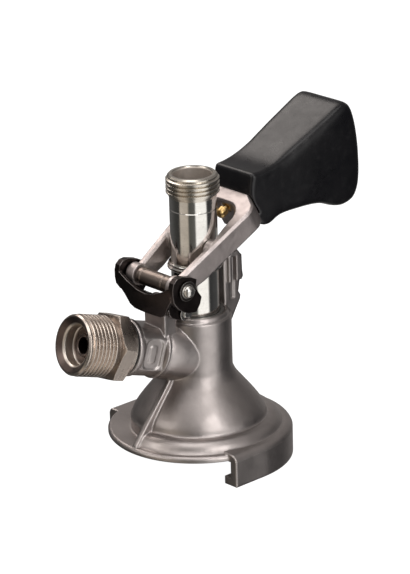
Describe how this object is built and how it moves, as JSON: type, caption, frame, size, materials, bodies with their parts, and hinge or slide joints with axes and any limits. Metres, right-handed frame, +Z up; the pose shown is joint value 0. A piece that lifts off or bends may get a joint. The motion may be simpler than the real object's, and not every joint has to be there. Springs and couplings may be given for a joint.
{
  "type": "keg coupler",
  "caption": "Slide-in keg coupler: bell body with U skirt and gas nipple, sliding beer probe, fork lever with black grip, and shackle link.",
  "frame": {"origin": "on the probe axis in the plane of the skirt's underside, where the keg neck's axis stands when it is slid home", "axes": "+Z up along the probe to the beer outlet, +Y towards the handle, -Y the way the keg neck slides out"},
  "size_m": [0.0808, 0.1527, 0.1436],
  "materials": {
    "body_satin": "cast stainless steel, glass-bead blasted to a fine satin, soft highlights",
    "fitting_turned": "turned, nickel-plated brass, warm, fine turning marks",
    "tube_polished": "polished stainless tube, mirror-like with faint turning lines",
    "yoke_satin": "light cast fork, satin, bevelled edges",
    "shackle_black": "blackened steel, semi-gloss, worn along the edges",
    "pin_steel": "turned steel pin, satin",
    "roller_dark": "dark oiled steel sleeve",
    "grip_black": "black moulded plastic, fine eroded texture",
    "brass_plunger": "turned brass",
    "seal_rubber": "black nitrile rubber",
    "bush_plastic": "dark grey acetal",
    "spring_steel": "stainless spring wire"
  },
  "bodies": {
    "body": {"body_casting": "body_satin", "keg_seal": "seal_rubber", "neck_bush": "bush_plastic", "neck_o_ring": "seal_rubber", "gas_inlet_nipple": "fitting_turned", "gas_inlet_gasket": "seal_rubber", "valve_retainer": "bush_plastic", "valve_spring": "spring_steel", "link_lower_pin": "pin_steel", "lower_pin_clips": "spring_steel"},
    "valve": {"valve_poppet": "bush_plastic"},
    "probe": {"probe_tube": "tube_polished", "trunnion_pins": "pin_steel", "probe_tip": "tube_polished", "probe_seal": "seal_rubber", "ball_stop_pin": "pin_steel"},
    "ball": {"check_ball": "spring_steel"},
    "lever": {"lever_yoke": "yoke_satin", "trunnion_bushes": "brass_plunger", "cross_pin": "pin_steel", "cross_pin_clip": "spring_steel", "plunger_guide": "brass_plunger", "latch_spring": "spring_steel", "handle_grip": "grip_black", "grip_screws": "pin_steel"},
    "roller": {"cross_roller": "roller_dark"},
    "plunger": {"latch_plunger": "brass_plunger"},
    "link": {"link_shackle": "shackle_black"}
  },
  "joints": [
    {"name": "probe_slide", "type": "slide", "parent": "body", "child": "probe", "axis": [0, 0, -1], "range_m": [0, 0.0155]},
    {"name": "lever_hinge", "type": "hinge", "parent": "probe", "child": "lever", "pos_m": [0, 0, 0.095], "axis": [-1, 0, 0], "range_deg": [0, 35]},
    {"name": "link_hinge", "type": "hinge", "parent": "body", "child": "link", "pos_m": [0, -0.018, 0.0725], "axis": [1, 0, 0], "range_deg": [0, 13.1]},
    {"name": "roller_spin", "type": "hinge", "parent": "lever", "child": "roller", "pos_m": [0, -0.0218, 0.08477], "axis": [1, 0, 0], "continuous": true},
    {"name": "plunger_slide", "type": "slide", "parent": "lever", "child": "plunger", "axis": [0, 0.8669, 0.4985], "range_m": [0, 0.0012], "stiffness_N_per_m": 900, "springref_m": -0.003, "deforming": ["latch_spring"]},
    {"name": "valve_slide", "type": "slide", "parent": "body", "child": "valve", "axis": [0.1363, 0.9516, -0.2756], "range_m": [0, 0.0015], "stiffness_N_per_m": 300, "springref_m": -0.002, "deforming": ["valve_spring"]},
    {"name": "ball_slide", "type": "slide", "parent": "probe", "child": "ball", "axis": [0, 0, 1], "range_m": [0, 0.004]}
  ],
  "couplings": [
    {"joint": "probe_slide", "follows": "lever_hinge", "m_per_rad": 0.02521},
    {"joint": "link_hinge", "follows": "lever_hinge", "ratio": 0.37143}
  ]
}
